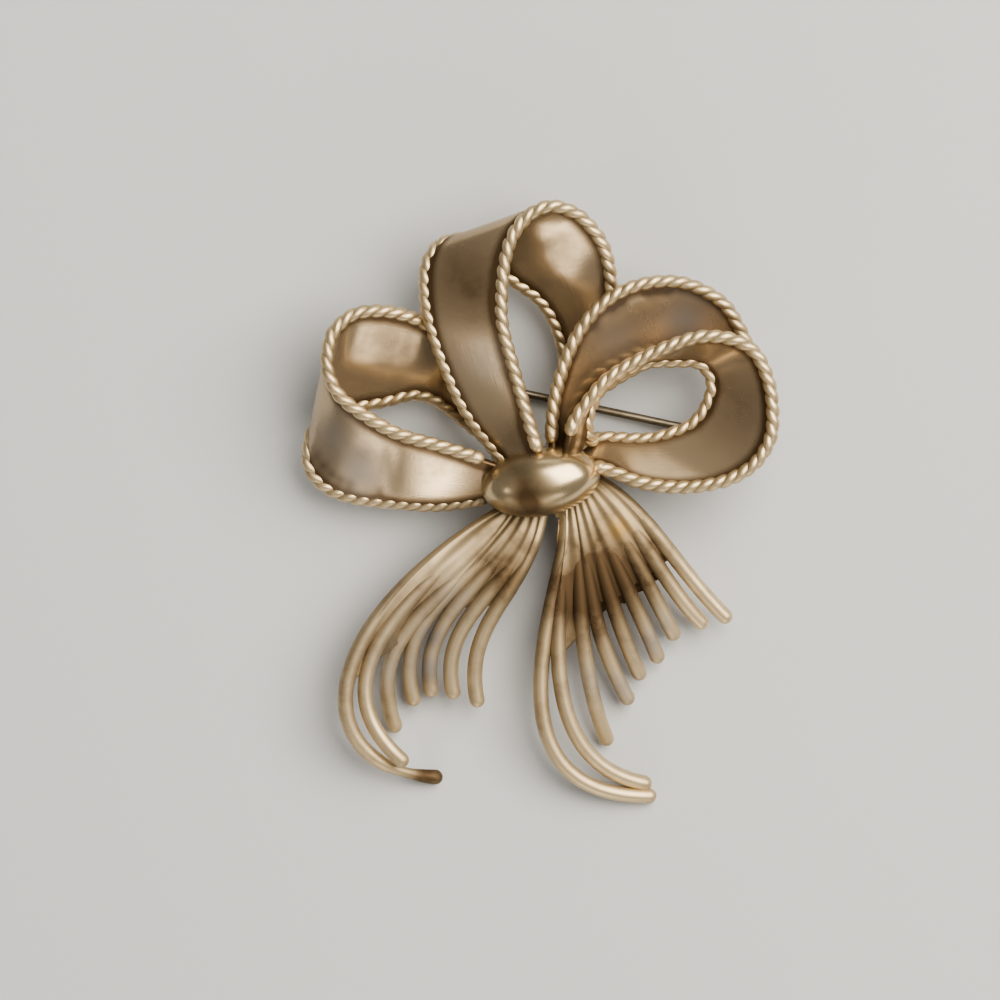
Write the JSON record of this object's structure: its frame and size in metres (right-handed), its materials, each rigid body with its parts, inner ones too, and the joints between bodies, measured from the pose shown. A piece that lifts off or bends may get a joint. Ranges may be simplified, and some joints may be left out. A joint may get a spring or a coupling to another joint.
{
  "type": "brooch",
  "caption": "Bow brooch in aged pale gold metal: roped ribbon loops round a domed knot, curling wire fringe tails and a pin on the back",
  "frame": {"origin": "the middle of the bow's outline seen from the front, on the surface that it lies on", "axes": "X across the bow to the right, Y up the bow from the tails to the top loop, Z out of the bow's front"},
  "size_m": [0.0478, 0.0605, 0.012],
  "materials": {
    "satin_gold": "satin, aged",
    "polished_gold": "polished, aged",
    "pin_steel": "dull"
  },
  "bodies": {
    "root": {"loop_left": "satin_gold", "loop_top": "satin_gold", "loop_upper_right": "satin_gold", "loop_right": "satin_gold", "knot": "polished_gold", "tail_left": "satin_gold", "tail_right": "satin_gold", "pin_back": "pin_steel"}
  },
  "joints": []
}
